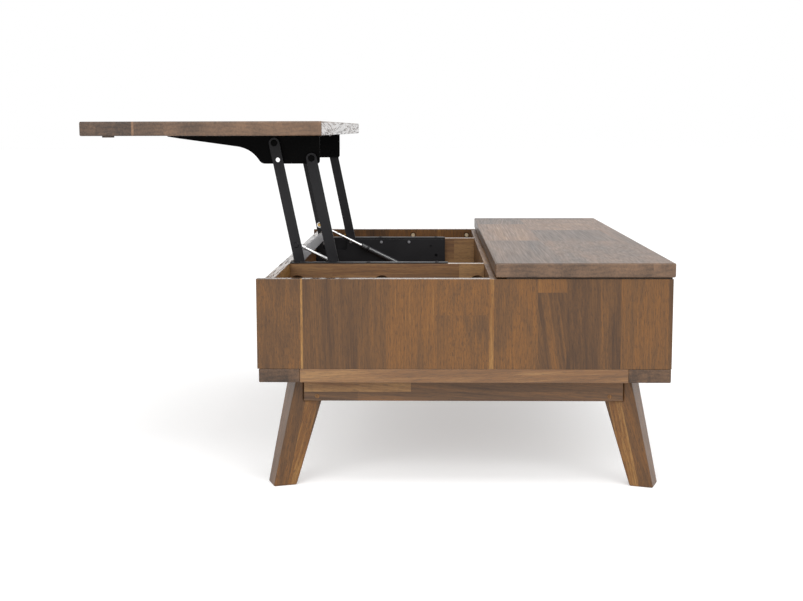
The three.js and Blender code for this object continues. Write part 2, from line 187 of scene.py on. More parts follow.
class Shader:
    """One procedural material under construction."""

    def __init__(self, name):
        self.material = bpy.data.materials.new(name)
        self.material.use_nodes = True
        self.tree = self.material.node_tree
        self.tree.nodes.clear()

    def node(self, kind, settings=None, sockets=None):
        made = self.tree.nodes.new(kind)
        for key, value in (settings or {}).items():
            setattr(made, key, value)
        for key, value in (sockets or {}).items():
            value = getattr(value, "socket", value)
            if isinstance(value, bpy.types.NodeSocket):
                self.tree.links.new(value, made.inputs[key])
            else:
                made.inputs[key].default_value = value
        return made

    def number(self, socket):
        return Number(self, socket)

    def attribute(self, name):
        return self.node("ShaderNodeAttribute", {"attribute_name": name}).outputs["Vector"]

    def split(self, vector):
        parts = self.node("ShaderNodeSeparateXYZ", {}, {"Vector": vector})
        return [self.number(parts.outputs[axis]) for axis in "XYZ"]

    def combine(self, x, y, z):
        return self.node("ShaderNodeCombineXYZ", {}, {"X": x, "Y": y, "Z": z}).outputs[0]

    def vector(self, operation, a, b):
        return self.node("ShaderNodeVectorMath", {"operation": operation}, {0: a, 1: b}).outputs["Vector"]

    def length(self, vector):
        made = self.node("ShaderNodeVectorMath", {"operation": "LENGTH"}, {0: vector})
        return self.number(made.outputs["Value"])

    def noise(self, vector, scale=1.0, detail=2.0, roughness=0.5):
        made = self.node(
            "ShaderNodeTexNoise",
            {"noise_dimensions": "3D"},
            {"Vector": vector, "Scale": scale, "Detail": detail, "Roughness": roughness},
        )
        return self.number(made.outputs["Fac"])

    def ramp(self, factor, stops):
        made = self.node("ShaderNodeValToRGB", {}, {"Fac": factor})
        elements = made.color_ramp.elements
        while len(elements) < len(stops):
            elements.new(1.0)
        for element, (position, colour) in zip(elements, stops):
            element.position = position
            element.color = colour
        return made.outputs["Color"]

    def mix(self, factor, a, b):
        made = self.node("ShaderNodeMix", {"data_type": "RGBA"}, {0: factor, 6: a, 7: b})
        return made.outputs[2]

    def bump(self, height, distance, strength=1.0):
        made = self.node("ShaderNodeBump", {}, {"Strength": strength, "Distance": distance, "Height": height})
        return made.outputs["Normal"]

    def finish(self, **sockets):
        named = {key.replace("_", " "): value for key, value in sockets.items()}
        surface = self.node("ShaderNodeBsdfPrincipled", {}, named)
        self.node("ShaderNodeOutputMaterial", {}, {"Surface": surface.outputs[0]})
        return self.material


def toned(colour, factor):
    """A colour made darker or lighter, no brighter than white."""
    return tuple(min(1.0, channel * factor) for channel in colour[:3]) + (1,)


def wood_material(name, gloss, coat):
    """Lacquered wood. Each stave has its own place, tone, streakiness and lean in the timber."""
    wood = bpy.context.scene.table_wood
    shader = Shader(name)
    place = shader.vector("ADD", shader.attribute("grain"), shader.attribute("stave_shift"))
    along, across, through = shader.split(place)
    tone, streak, lean = shader.split(shader.attribute("stave_look"))
    dip, polish, age = shader.split(shader.attribute("stave_finish"))
    across = across + along * lean
    through = through + along * dip
    wander = shader.noise(shader.combine(along * 2.4, across * 10, through * 10), detail=2) - 0.5
    heart = shader.length(shader.combine(0.0, across, through)) + wander * 0.030
    rings = ((heart * (2 * math.pi / RING)).sine() * 0.5 + 0.5) ** 2
    bands = shader.noise(shader.combine(along * 1.3, across * 30, through * 30), detail=3, roughness=0.55)
    lines = shader.noise(shader.combine(along * 7, across * 300, through * 300), detail=3, roughness=0.65)
    pores = shader.noise(shader.combine(along * 70, across * 1300, through * 1300), detail=1)
    cloud = shader.noise(shader.combine(along * 5, across * 12, through * 12), detail=3)
    flecks = shader.noise(shader.combine(along * 14, across * 420, through * 420), detail=2)
    fleck = (flecks - 0.54).above(0.0)
    figure = wood.figure
    depth = tone + (bands - 0.5) * streak * (2.3 * figure) + (rings - 0.35) * (0.085 * figure)
    depth = depth + (lines - 0.5) * (0.70 * figure) + (cloud - 0.5) * 0.26
    stops = [(0.0, wood.honey), (0.28, wood.amber), (0.5, wood.nut), (0.78, wood.umber), (1.0, wood.smoke)]
    colour = shader.ramp(depth.clamped(), stops)
    open_pores = (pores - 0.58).above(0.0) * 0.5 + polish * fleck * 0.5
    colour = shader.mix(open_pores, colour, wood.smoke)
    colour = shader.mix(age, colour, shader.mix(depth.clamped(), wood.dull, wood.dull_dark))
    rough = (lines - 0.5) * 0.35 + gloss
    shine = polish * (0.95 - coat) * (1 - fleck) + coat
    return shader.finish(
        Base_Color=colour,
        Roughness=rough.clamped(),
        Normal=shader.bump(pores * 0.6 + lines, wood.pore_depth, 0.8),
        Specular_IOR_Level=0.25,
        Coat_Weight=shine,
        Coat_Roughness=0.12,
    )


def painted_material(name, colour, roughness, sheen, depth):
    """Paint or powder coat with a fine orange-peel texture and an uneven sheen."""
    shader = Shader(name)
    place = shader.node("ShaderNodeTexCoord").outputs["Object"]
    peel = shader.noise(place, 900.0, 2)
    cloud = shader.noise(place, 22.0, 3)
    shade = shader.mix(cloud, toned(colour, 0.82), toned(colour, 1.2))
    rough = (cloud - 0.5) * 0.25 + roughness
    return shader.finish(
        Base_Color=shade,
        Roughness=rough.clamped(),
        Normal=shader.bump(peel, depth),
        Specular_IOR_Level=sheen,
    )


def drawn_material(name, colour, roughness):
    """Bare or plated metal with fine turning marks."""
    shader = Shader(name)
    place = shader.node("ShaderNodeTexCoord").outputs["Object"]
    marks = shader.noise(shader.vector("MULTIPLY", place, (300, 2600, 300)), 1.0, 2)
    cloud = shader.noise(place, 60.0, 3)
    shade = shader.mix(cloud, toned(colour, 0.75), colour)
    rough = marks * 0.18 + cloud * 0.12 + (roughness - 0.15)
    return shader.finish(
        Base_Color=shade, Roughness=rough.clamped(), Metallic=1.0, Normal=shader.bump(marks, 0.00003)
    )


def rubber_material(name):
    """Soft dark rubber or felt for pads and spacers."""
    shader = Shader(name)
    place = shader.node("ShaderNodeTexCoord").outputs["Object"]
    fluff = shader.noise(place, 700.0, 3)
    shade = shader.mix(fluff, (0.022, 0.016, 0.012, 1), (0.075, 0.05, 0.036, 1))
    return shader.finish(Base_Color=shade, Roughness=fluff * 0.2 + 0.7, Normal=shader.bump(fluff, 0.0002))


materials = {}  # finished materials by the record's slot names


def make_materials():
    steel = bpy.context.scene.table_steel
    for slot, gloss, coat in (
        ("top_wood", 0.42, 0.12),
        ("case_wood", 0.45, 0.08),
        ("leg_wood", 0.46, 0.10),
        ("apron_wood", 0.48, 0.10),
        ("rail_wood", 0.46, 0.10),
        ("end_grain_wood", 0.50, 0.10),
    ):
        materials[slot] = wood_material(slot, gloss, coat)
    materials["black_steel"] = painted_material("black_steel", steel.black, 0.42, 0.22, 0.00006)
    # Painted shade: the brackets and upper pivots get this darker copy of the black, which is also less shiny
    materials["matt_black_steel"] = painted_material("matt_black_steel", steel.black_for_shade, 0.6, 0.04, 0.00006)
    materials["strut_steel"] = painted_material("strut_steel", steel.tube, 0.18, 0.6, 0.00001)
    materials["grey_steel"] = painted_material("grey_steel", steel.grey, 0.35, 0.5, 0.00003)
    materials["chromed_rod"] = drawn_material("chromed_rod", steel.bright, 0.34)
    materials["zinc_steel"] = drawn_material("zinc_steel", steel.zinc, 0.38)
    materials["brass_stud"] = drawn_material("brass_stud", steel.brass, 0.32)
    materials["pale_plastic"] = painted_material("pale_plastic", steel.cream, 0.5, 0.4, 0.00004)
    materials["rubber_pad"] = rubber_material("rubber_pad")


# ---- Mesh helpers -----------------------------------------------------------------------------
def body_of(node):
    bodies = frame["record"]["behaviour"]["bodies"]
    return next(body for body, nodes in bodies.items() if node in nodes)


def new_piece(name, mesh, slot, body):
    """Puts a finished mesh in the scene on its body, with the finish of a record slot."""
    piece = bpy.data.objects.new(name, mesh)
    bpy.context.scene.collection.objects.link(piece)
    if not mesh.materials:
        mesh.materials.append(materials[slot])
    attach(piece, body)
    return piece


def clean_copy(node):
    """A CAD node's mesh with its corners joined and its flat faces whole."""
    bm = bmesh.new()
    bm.from_mesh(frame["nodes"][node].data)
    bmesh.ops.remove_doubles(bm, verts=bm.verts[:], dist=2e-6)
    bmesh.ops.dissolve_limit(bm, angle_limit=math.radians(0.5), verts=bm.verts[:], edges=bm.edges[:])
    return bm


def soften(bm, width, segments=3, sharp=30.0):
    """Rounds every sharp edge, and shades the rounding smoothly between its flat neighbours."""
    edges = [e for e in bm.edges if len(e.link_faces) == 2 and e.calc_face_angle(0) > math.radians(sharp)]
    rounded = bmesh.ops.bevel(
        bm, geom=edges, offset=width, segments=segments, profile=0.5, affect="EDGES", clamp_overlap=True
    )
    rounded = set(rounded["faces"])
    for face in bm.faces:
        face.smooth = face in rounded
    return rounded


def saw(bm, faces, direction, position):
    """Cuts faces with the plane at a distance along direction."""
    geometry = dict.fromkeys(faces)
    for face in faces:
        geometry.update(dict.fromkeys(face.edges))
        geometry.update(dict.fromkeys(face.verts))
    bmesh.ops.bisect_plane(
        bm, geom=list(geometry), dist=1e-6, plane_co=direction * position, plane_no=direction
    )


def put_in_order(bm):
    """Lists the faces by their corners, because cutting leaves them in an order that varies."""
    bm.verts.index_update()
    ordered = sorted(bm.faces, key=lambda face: sorted(corner.index for corner in face.verts))
    ranks = {face: rank for rank, face in enumerate(ordered)}
    bm.faces.sort(key=ranks.get)


class Timber:
    """How a board is glued up: its grain, across and thickness directions, and its staves.

    A stave is its (across, along, through) spans, its (tone, streak, lean) and its seed. A span
    is (low, high), with None for an end that reaches past the board."""

    def __init__(self, grain, across, through, polished=None, age=0.0):
        self.axes = (across, grain, through)
        self.polished = polished
        self.age = age
        self.staves = []

    def add(
        self,
        across=(None, None),
        along=(None, None),
        through=(None, None),
        tone=0.5,
        streak=0.25,
        lean=0.0,
        seed=1,
    ):
        self.staves.append(((across, along, through), (tone, streak, lean), seed))

    def find(self, point):
        places = [point.dot(axis) for axis in self.axes]
        for index, (spans, _, _) in enumerate(self.staves):
            inside = all(
                (low is None or place > low) and (high is None or place <= high)
                for place, (low, high) in zip(places, spans)
            )
            if inside:
                return index
        return 0

    def cut(self, bm):
        """Saws the mesh along every joint, rows first so that butt joints stay in their row."""
        for direction, pick in ((self.axes[0], 0), (self.axes[2], 2)):
            levels = sorted({span for spans, _, _ in self.staves for span in spans[pick] if span is not None})
            for level in levels:
                saw(bm, bm.faces[:], direction, level)
        for spans, _, _ in self.staves:
            for level in spans[1]:
                if level is None:
                    continue
                row = [f for f in bm.faces if self._in_row(f.calc_center_median(), spans)]
                saw(bm, row, self.axes[1], level)
        put_in_order(bm)

    def _in_row(self, point, spans):
        for axis, (low, high) in ((self.axes[0], spans[0]), (self.axes[2], spans[2])):
            place = point.dot(axis)
            if (low is not None and place < low) or (high is not None and place > high):
                return False
        return True

    def mark(self, mesh):
        """Writes the grain position on points and each stave's own look on faces."""
        grain = mesh.attributes.new("grain", "FLOAT_VECTOR", "POINT")
        across, along, through = self.axes
        for vertex, item in zip(mesh.vertices, grain.data):
            place = vertex.co
            item.vector = (place.dot(along), place.dot(across), place.dot(through))
        shifts = mesh.attributes.new("stave_shift", "FLOAT_VECTOR", "FACE")
        looks = mesh.attributes.new("stave_look", "FLOAT_VECTOR", "FACE")
        finishes = mesh.attributes.new("stave_finish", "FLOAT_VECTOR", "FACE")
        for index, polygon in enumerate(mesh.polygons):
            spans, look, seed = self.staves[self.find(polygon.center)]
            chance = random.Random(seed * 7919 + 17)
            centre_across = middle(spans[0])
            centre_through = middle(spans[2])
            shift = (
                chance.uniform(-4.0, 4.0),
                chance.uniform(-0.035, 0.035) - centre_across,
                chance.choice((-1, 1)) * chance.uniform(0.03, 0.11) - centre_through,
            )
            dip = chance.choice((0.0, 0.02, -0.05, 0.08))
            bright = self.polished is not None and abs(polygon.normal.dot(self.polished)) > 0.7
            age = self.age + (END_GRAIN_AGE if abs(polygon.normal.dot(along)) > 0.7 else 0.0)
            shifts.data[index].vector = shift
            looks.data[index].vector = look
            finishes.data[index].vector = (dip, float(bright), age)


def middle(span):
    ends = [end for end in span if end is not None]
    return sum(ends) / len(ends) if ends else 0.0


def chosen_look(chance, darkness=0.0):
    """A random but plausible tone, streakiness and lean for one stave."""
    tone = chance.choice((0.30, 0.38, 0.44, 0.50, 0.56, 0.64)) + chance.uniform(-0.04, 0.04) + darkness
    return dict(tone=tone, streak=chance.choice((0.12, 0.2, 0.28, 0.42)), lean=chance.uniform(-0.05, 0.05))


def glued_up(node, grain, across, through, seed, widest, darkness=0.0, polished=None):
    """Random staves side by side over a whole board, with butt joints along each row."""
    wood = bpy.context.scene.table_wood
    timber = Timber(grain, across, through, polished)
    low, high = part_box(node)
    chance = random.Random(seed)
    start, end = low.dot(across), high.dot(across)
    row = start - chance.uniform(0.2, 0.8) * widest
    while row < end:
        width = widest * chance.uniform(0.55, 1.0)
        join, last = low.dot(grain), high.dot(grain)
        join -= chance.uniform(0.1, 0.9) * wood.stave_length
        while join < last:
            run = wood.stave_length * chance.uniform(0.55, 1.0)
            timber.add(
                across=(row, row + width),
                along=(join, join + run),
                seed=chance.randrange(1, 10000),
                **chosen_look(chance, darkness),
            )
            join += run
        row += width
    return timber


def wood_piece(node, timber, slot, edge, segments=3):
    """A board in place of its CAD node, with softened edges and its staves marked."""
    bm = clean_copy(node)
    soften(bm, edge, segments)
    timber.cut(bm)
    mesh = bpy.data.meshes.new(node + "_wood")
    bm.to_mesh(mesh)
    bm.free()
    timber.mark(mesh)
    piece = new_piece(node + "_wood", mesh, slot, body_of(node))
    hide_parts(node)
    return piece


def steel_piece(node, slot, edge, segments=2, sharp=30.0):
    """A pressed or turned steel part in place of its CAD node, with softened edges."""
    bm = clean_copy(node)
    rounded = soften(bm, edge, segments, sharp)
    for face in bm.faces:
        face.smooth = True
    for joint in bm.edges:
        turn = joint.calc_face_angle(0)
        both_kinds = len({face in rounded for face in joint.link_faces}) == 2
        joint.smooth = turn < math.radians(28) and not both_kinds
    mesh = bpy.data.meshes.new(node + "_steel")
    bm.to_mesh(mesh)
    bm.free()
    piece = new_piece(node + "_steel", mesh, slot, body_of(node))
    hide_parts(node)
    return piece


# ---- Tops and case ----------------------------------------------------------------------------
# Staves of both tops at the near end from left to right: width in millimetres, tone, streakiness.
LIFT_TOP_STAVES = (
    (30, 0.80, 0.2),
    (65, 0.86, 0.3),
    (4, 0.25, 0.1),
    (54, 0.78, 0.25),
    (98, 0.60, 0.4),
    (100, 0.54, 0.4),
    (120, 0.50, 0.3),
)
FIXED_TOP_STAVES = ((121, 0.62, 0.4), (165, 0.58, 0.4), (90, 0.54, 0.4))

# Staves of the near end panel from left to right: width in millimetres, tone, streakiness, lean.
NEAR_PANEL_STAVES = (
    (81, 0.50, 0.30, 0.0),
    (4, 0.04, 0.05, 0.0),
    (100, 0.58, 0.34, 0.02),
    (53, 0.53, 0.15, 0.0),
    (92, 0.40, 0.16, 0.0),
    (22, 0.47, 0.25, 0.0),
    (75, 0.42, 0.12, 0.0),
    (9, 0.20, 0.10, 0.0),
    (80, 0.44, 0.16, 0.0),
    (53, 0.58, 0.80, 0.16),
    (31, 0.66, 0.20, 0.03),
    (31, 0.60, 0.45, 0.05),
    (37, 0.52, 0.55, 0.02),
    (86, 0.42, 0.24, 0.0),
    (20, 0.58, 0.10, 0.0),
)


def top_staves(node, looks, seed, polished):
    """Long staves of chosen widths whose near pieces have chosen looks, butt-jointed to random ones."""
    wood = bpy.context.scene.table_wood
    timber = Timber(Y, X, Z, polished, 0.30)
    low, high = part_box(node)
    chance = random.Random(seed)
    edge = low.x
    for width, tone, streak in looks:
        row = (edge, edge + width * MM)
        join = low.y + wood.stave_length * chance.uniform(0.25, 1.0)
        timber.add(across=row, along=(None, join), tone=tone, streak=streak, seed=chance.randrange(10000))
        while join < high.y:
            run = wood.stave_length * chance.uniform(0.55, 1.0)
            look = chosen_look(chance, 0.02)
            timber.add(across=row, along=(join, join + run), seed=chance.randrange(10000), **look)
            join += run
        edge = row[1]
    return timber


def panel_staves(node, looks, seed):
    """Upright staves of chosen widths, with short pieces let in at the top edge."""
    timber = Timber(Z, X, Y, Z)
    low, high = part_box(node)
    edge = low.x
    long_piece, short_piece = 0.067, 0.025
    for index, (width, tone, streak, lean) in enumerate(looks):
        span = (edge, edge + width * MM)
        look = dict(across=span, tone=tone, streak=streak, lean=lean, seed=seed + index)
        if index in (5, 6):
            joint = high.z - long_piece
            timber.add(along=(joint, None), **(look | dict(tone=0.38, streak=0.12, seed=seed + 50)))
            timber.add(along=(None, joint), **look)
        elif index == 9:
            joint = high.z - short_piece
            timber.add(along=(joint, None), **(look | dict(tone=0.36, streak=0.2, lean=0.0, seed=seed + 51)))
            timber.add(along=(None, joint), **look)
        else:
            timber.add(**look)
        edge = span[1]
    return timber


class TABLE_OT_tops(bpy.types.Operator):
    """Make the fixed top and the lift top from boards glued side by side"""

    bl_idname = "coffee_table.tops"
    bl_label = "Tops"

    def execute(self, context):
        edge = context.scene.table_wood.top_edge
        wood_piece("fixed_top", top_staves("fixed_top", FIXED_TOP_STAVES, 23, None), "top_wood", edge, 4)
        wood_piece("lift_top", top_staves("lift_top", LIFT_TOP_STAVES, 41, X), "top_wood", edge, 4)
        return {"FINISHED"}


class TABLE_OT_case(bpy.types.Operator):
    """Make the end and side panels, the divider, the cross boards and the bottom panel"""

    bl_idname = "coffee_table.case"
    bl_label = "Case"

    def execute(self, context):
        wood = context.scene.table_wood
        near = panel_staves("end_panel_near", NEAR_PANEL_STAVES, 300)
        wood_piece("end_panel_near", near, "case_wood", wood.board_edge)
        far = panel_staves("end_panel_far", NEAR_PANEL_STAVES[::-1], 400)
        wood_piece("end_panel_far", far, "case_wood", wood.board_edge)
        for word, side in SIDES:
            node = "side_panel_" + word
            timber = glued_up(node, Y, Z, X, 60 + side, 0.09, -0.12, Z)
            wood_piece(node, timber, "case_wood", wood.board_edge)
        timber = glued_up("centre_divider", Y, Z, X, 71, 0.09, -0.05)
        wood_piece("centre_divider", timber, "case_wood", wood.board_edge)
        for word, side in ENDS:
            node = "cross_board_" + word
            wood_piece(node, self.cross_board(node, side), "case_wood", wood.board_edge * 0.6, 2)
        timber = glued_up("bottom_panel", Y, X, Z, 91, 0.11)
        wood_piece("bottom_panel", timber, "case_wood", wood.board_edge * 0.5, 2)
        return {"FINISHED"}

    def cross_board(self, node, side):
        """Three pieces end to end, with the grain along the board."""
        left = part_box(node)[0].x
        first, second = left + 0.087, left + 0.346
        timber = Timber(X, Z, Y, Z, 0.35)
        timber.add(along=(None, first), tone=0.12, streak=0.25, seed=81 + side)
        timber.add(along=(first, second), tone=0.18, streak=0.45, seed=84 + side)
        timber.add(along=(second, None), tone=0.06, streak=0.35, seed=87 + side)
        return timber


class TABLE_OT_bottom_frame(bpy.types.Operator):
    """Make the bottom frame: dark long rails and laminated short rails between them"""

    bl_idname = "coffee_table.bottom_frame"
    bl_label = "Bottom Frame"

    def execute(self, context):
        wood = context.scene.table_wood
        for word, side in SIDES:
            node = "bottom_rail_" + word
            timber = Timber(Y, X, Z)
            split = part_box(node)[0].x + (0.055 if side < 0 else 0.040)
            timber.add(across=(None, split), tone=0.74, streak=0.5, seed=501 + side)
            timber.add(across=(split, None), tone=0.68, streak=0.4, seed=511 + side)
            wood_piece(node, timber, "end_grain_wood", wood.top_edge * 0.8, 3)
        for word, side in ENDS:
            node = "bottom_rail_" + word
            low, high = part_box(node)
            joint = low.z + 0.4 * (high.z - low.z)
            timber = Timber(X, Y, Z, None, 0.35)
            timber.add(through=(joint, None), tone=0.34, streak=0.5, seed=521 + side)
            timber.add(through=(None, joint), tone=0.22, streak=0.22, seed=531 + side)
            wood_piece(node, timber, "rail_wood", wood.board_edge, 3)
        return {"FINISHED"}


# ---- Stand ------------------------------------------------------------------------------------
LEG_TURN = math.radians(20)
LEG_LEAN = 45 / 208.5  # slope of a leg's outer face, sideways over height


def leg_timber(node, side_x, side_y, seed):
    """Laminations parallel to the leg's outer face, with the grain running down it."""
    wood = bpy.context.scene.table_wood
    out = Vector((side_x * math.cos(LEG_TURN), side_y * math.sin(LEG_TURN), 0))
    grain = (Z - out * LEG_LEAN).normalized()
    through = (out + Z * LEG_LEAN).normalized()
    across = through.cross(grain)
    mesh = frame["nodes"][node].data
    outer = max(vertex.co.dot(through) for vertex in mesh.vertices)
    timber = Timber(grain, across, through)
    thick = wood.lamination
    tones = ((0.44, 0.30), (0.24, 0.30), (0.56, 0.2))
    for index, (tone, streak) in enumerate(tones):
        high = None if index == 0 else outer - index * thick - 0.002
        low = None if index == 2 else outer - (index + 1) * thick - 0.002
        timber.add(through=(low, high), tone=tone, streak=streak, seed=seed + index)
    return timber


class TABLE_OT_stand(bpy.types.Operator):
    """Make the four splayed legs, the apron rails and the plugs over their screws"""

    bl_idname = "coffee_table.stand"
    bl_label = "Stand"

    def execute(self, context):
        wood = context.scene.table_wood
        for word, side in ENDS:
            for side_word, side_x in SIDES:
                node = f"leg_{word}_{side_word}"
                timber = leg_timber(node, side_x, side, 600 + 10 * side + 3 * side_x)
                wood_piece(node, timber, "leg_wood", wood.leg_edge, 4)
        for word, side in ENDS:
            wood_piece("apron_" + word, self.end_apron(word, side), "apron_wood", wood.board_edge, 3)
        for word, side in SIDES:
            timber = glued_up("apron_" + word, Y, Z, X, 730 + side, 0.03)
            wood_piece("apron_" + word, timber, "apron_wood", wood.board_edge, 3)
        self.plugs(context.scene.table_steel.plug_radius)
        return {"FINISHED"}

    def end_apron(self, word, side):
        """Two laminations, each with one butt joint in its length."""
        low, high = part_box("apron_" + word)
        joint = low.z + 0.4 * (high.z - low.z)
        timber = Timber(X, Y, Z, None, 0.25)
        upper, lower = (joint, None), (None, joint)
        upper_break = CENTRE_X + side * 0.098
        lower_break = upper_break - 0.1
        timber.add(through=upper, along=(None, upper_break), tone=0.08, streak=0.3, seed=701)
        timber.add(through=upper, along=(upper_break, None), tone=0.44, streak=0.5, seed=702 + side)
        timber.add(through=lower, along=(None, lower_break), tone=0.56, streak=0.4, seed=703)
        timber.add(through=lower, along=(lower_break, None), tone=0.44, streak=0.5, seed=704 + side)
        return timber

    def plugs(self, radius):
        """Slightly proud wood plugs, two on each end apron, over its screws."""
        reach = 0.2745
        height = LEG_TOP_Z - 0.0345
        for word, side in ENDS:
            low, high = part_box("apron_" + word)
            face = low.y if side < 0 else high.y
            bm = bmesh.new()
            for side_x in (-1, 1):
                place = Matrix.Translation((CENTRE_X + side_x * reach, face + side * 0.0001, height))
                turn = Matrix.Rotation(math.radians(90) * -side, 4, "X")
                dome(bm, place @ turn, radius, 0.0007)
            timber = Timber(Z, X, Y)
            timber.add(tone=0.22, streak=0.3, seed=740 + side)
            mesh = bpy.data.meshes.new("apron_plugs_" + word)
            bm.to_mesh(mesh)
            bm.free()
            timber.mark(mesh)
            new_piece("apron_plugs_" + word, mesh, "apron_wood", "case")


def circle(bm, place, radius, height, sides):
    """A ring of points round the local Z axis, at a height along it."""
    ring = []
    for step in range(sides):
        angle = 2 * math.pi * step / sides
        point = Vector((radius * math.cos(angle), radius * math.sin(angle), height))
        ring.append(bm.verts.new(place @ point))
    return ring


def dome(bm, place, radius, height, sides=20):
    """A low closed dome whose flat back sits 0.5 mm under the surface, facing local +Z."""
    rings = ((1.0, -0.0005), (1.0, 0.0), (0.93, height * 0.6), (0.6, height), (0.0, height * 1.05))
    loops = [circle(bm, place, radius * share_out, rise, sides) for share_out, rise in rings[:-1]]
    tip = bm.verts.new(place @ Vector((0, 0, rings[-1][1])))
    bm.faces.new(loops[0][::-1])
    for lower, upper in zip(loops, loops[1:]):
        for step in range(sides):
            after = (step + 1) % sides
            bm.faces.new((lower[step], lower[after], upper[after], upper[step]))
    for step in range(sides):
        bm.faces.new((loops[-1][step], loops[-1][(step + 1) % sides], tip))


# ---- Steel work -------------------------------------------------------------------------------
class TABLE_OT_linkages(bpy.types.Operator):
    """Make both lifting linkages: channels, arms, brackets, pivots and the tie bar"""

    bl_idname = "coffee_table.linkages"
    bl_label = "Linkages"

    def execute(self, context):
        edge = context.scene.table_steel.sheet_edge
        for word, _ in ENDS:
            steel_piece("base_channel_" + word, "black_steel", edge)
            # The bracket takes the darker black as painted shade under the top
            steel_piece("top_bracket_" + word, "matt_black_steel", edge)
            for arm in ("first", "second"):
                steel_piece(f"{arm}_arm_{word}", "black_steel", edge * 1.8)
                index = 1 if arm == "first" else 2
                steel_piece(f"lower_pivot_{index}_{word}", "zinc_steel", edge)
                # The upper pivots also take the darker black as painted shade under the top
                steel_piece(f"upper_pivot_{index}_{word}", "matt_black_steel", edge)
        steel_piece("tie_bar", "grey_steel", edge * 1.5)
        return {"FINISHED"}


class TABLE_OT_struts(bpy.types.Operator):
    """Make the gas struts with their studs, seal collars and lower pins"""

    bl_idname = "coffee_table.struts"
    bl_label = "Gas Struts"

    def execute(self, context):
        edge = context.scene.table_steel.sheet_edge
        for word, _ in ENDS:
            steel_piece("strut_rod_" + word, "chromed_rod", edge * 0.6, sharp=40)
            steel_piece("strut_cylinder_" + word, "strut_steel", edge * 0.6, sharp=40)
            steel_piece("strut_stud_" + word, "brass_stud", edge, sharp=40)
            steel_piece("strut_foot_pin_" + word, "brass_stud", edge, sharp=40)
            self.collar(word)
        return {"FINISHED"}

    def collar(self, word):
        """A clip ring round the cylinder, just past its mouth."""
        stud = middle_of("strut_stud_" + word)
        foot = middle_of("strut_foot_pin_" + word)
        axis = Vector((foot.x - stud.x, 0, foot.z - stud.z)).normalized()
        depth = middle_of("strut_rod_" + word).y
        from_stud = 0.134
        centre = Vector((stud.x, depth, stud.z)) + axis * from_stud
        turn = Z.rotation_difference(axis).to_matrix().to_4x4()
        place = Matrix.Translation(centre) @ turn
        bm = bmesh.new()
        profile = ((0.0066, -0.003), (0.0078, -0.0026), (0.0078, 0.0026), (0.0066, 0.003))
        sides = 24
        rings = [circle(bm, place, radius, height, sides) for radius, height in profile]
        for ring, after in zip(rings, rings[1:] + rings[:1]):
            for i in range(sides):
                j = (i + 1) % sides
                bm.faces.new((ring[i], ring[j], after[j], after[i]))
        bmesh.ops.recalc_face_normals(bm, faces=bm.faces[:])
        mesh = bpy.data.meshes.new("strut_collar_" + word)
        bm.to_mesh(mesh)
        bm.free()
        mesh.shade_smooth()
        mesh.set_sharp_from_angle(angle=math.radians(35))
        new_piece("strut_collar_" + word, mesh, "black_steel", "strut_cylinders")


# ---- Fasteners --------------------------------------------------------------------------------
def fastener_tree(name, with_cross):
    """A node tree that stands a head on every point, facing along the point's own direction."""
    tree = bpy.data.node_groups.new(name, "GeometryNodeTree")
    tree.interface.new_socket("Points", in_out="INPUT", socket_type="NodeSocketGeometry")
    for label, value in (("Head Radius", 0.004), ("Head Height", 0.0015)):
        socket = tree.interface.new_socket(label, in_out="INPUT", socket_type="NodeSocketFloat")
        socket.default_value = value
    tree.interface.new_socket("Finish", in_out="INPUT", socket_type="NodeSocketMaterial")
    tree.interface.new_socket("Heads", in_out="OUTPUT", socket_type="NodeSocketGeometry")
    nodes, link = tree.nodes, tree.links.new
    given = nodes.new("NodeGroupInput").outputs
    cone = nodes.new("GeometryNodeMeshCone")
    cone.inputs["Vertices"].default_value = 20
    rim = nodes.new("ShaderNodeMath")
    rim.operation = "MULTIPLY"
    rim.inputs[1].default_value = 0.72
    link(given["Head Radius"], rim.inputs[0])
    link(given["Head Radius"], cone.inputs["Radius Bottom"])
    link(rim.outputs[0], cone.inputs["Radius Top"])
    link(given["Head Height"], cone.inputs["Depth"])
    head = cone.outputs["Mesh"]
    if with_cross:
        head = cross_recess(tree, given, head)
    facing = nodes.new("GeometryNodeInputNamedAttribute")
    facing.data_type = "FLOAT_VECTOR"
    facing.inputs["Name"].default_value = "facing"
    turn = nodes.new("FunctionNodeAlignRotationToVector")
    link(facing.outputs["Attribute"], turn.inputs["Vector"])
    points = nodes.new("GeometryNodeMeshToPoints")
    link(given["Points"], points.inputs["Mesh"])
    stand = nodes.new("GeometryNodeInstanceOnPoints")
    link(points.outputs["Points"], stand.inputs["Points"])
    link(head, stand.inputs["Instance"])
    link(turn.outputs["Rotation"], stand.inputs["Rotation"])
    real = nodes.new("GeometryNodeRealizeInstances")
    link(stand.outputs["Instances"], real.inputs["Geometry"])
    paint = nodes.new("GeometryNodeSetMaterial")
    link(real.outputs["Geometry"], paint.inputs["Geometry"])
    link(given["Finish"], paint.inputs["Material"])
    link(paint.outputs["Geometry"], nodes.new("NodeGroupOutput").inputs["Heads"])
    return tree


